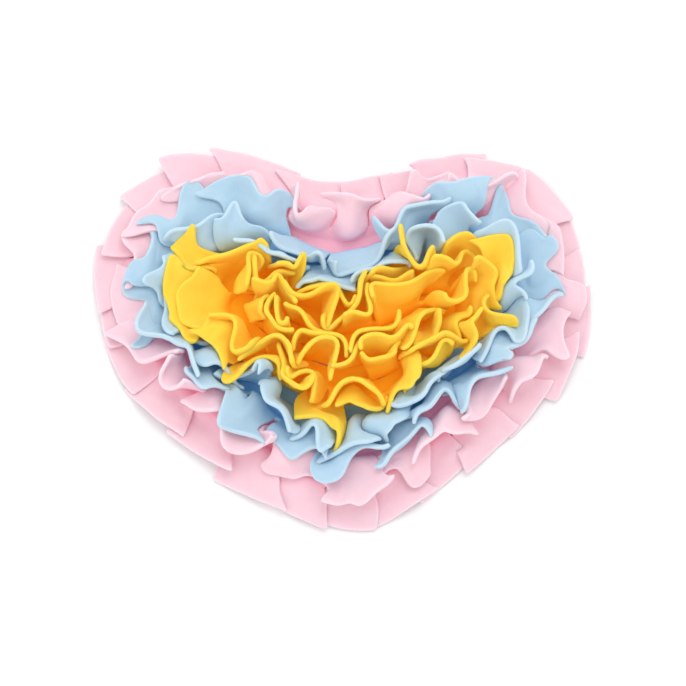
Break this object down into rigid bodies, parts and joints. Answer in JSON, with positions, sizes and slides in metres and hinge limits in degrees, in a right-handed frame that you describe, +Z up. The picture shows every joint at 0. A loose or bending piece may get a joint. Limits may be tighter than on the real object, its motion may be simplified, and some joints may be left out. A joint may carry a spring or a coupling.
{
  "type": "snuffle mat",
  "caption": "Heart-shaped snuffle mat: rows of slit fleece ruffles in pink, blue and yellow bands sewn on a flat base panel, with pockets between them for hiding dry food.",
  "frame": {"origin": "on the underside of the base panel, below the middle of the spine that the rows run round", "axes": "+X to the right lobe, +Y to the notch of the heart, +Z up, away from the floor"},
  "size_m": [0.4246, 0.3345, 0.0583],
  "materials": {
    "pink_fleece": "matte brushed fleece",
    "blue_fleece": "matte brushed fleece",
    "yellow_fleece": "matte brushed fleece",
    "base_felt": "matte felt"
  },
  "bodies": {
    "root": {"base": "base_felt", "pink_outer": "pink_fleece", "pink_inner": "pink_fleece", "blue_outer": "blue_fleece", "blue_inner": "blue_fleece", "yellow_outer": "yellow_fleece", "yellow_middle": "yellow_fleece", "yellow_inner": "yellow_fleece", "yellow_core": "yellow_fleece"}
  },
  "joints": []
}
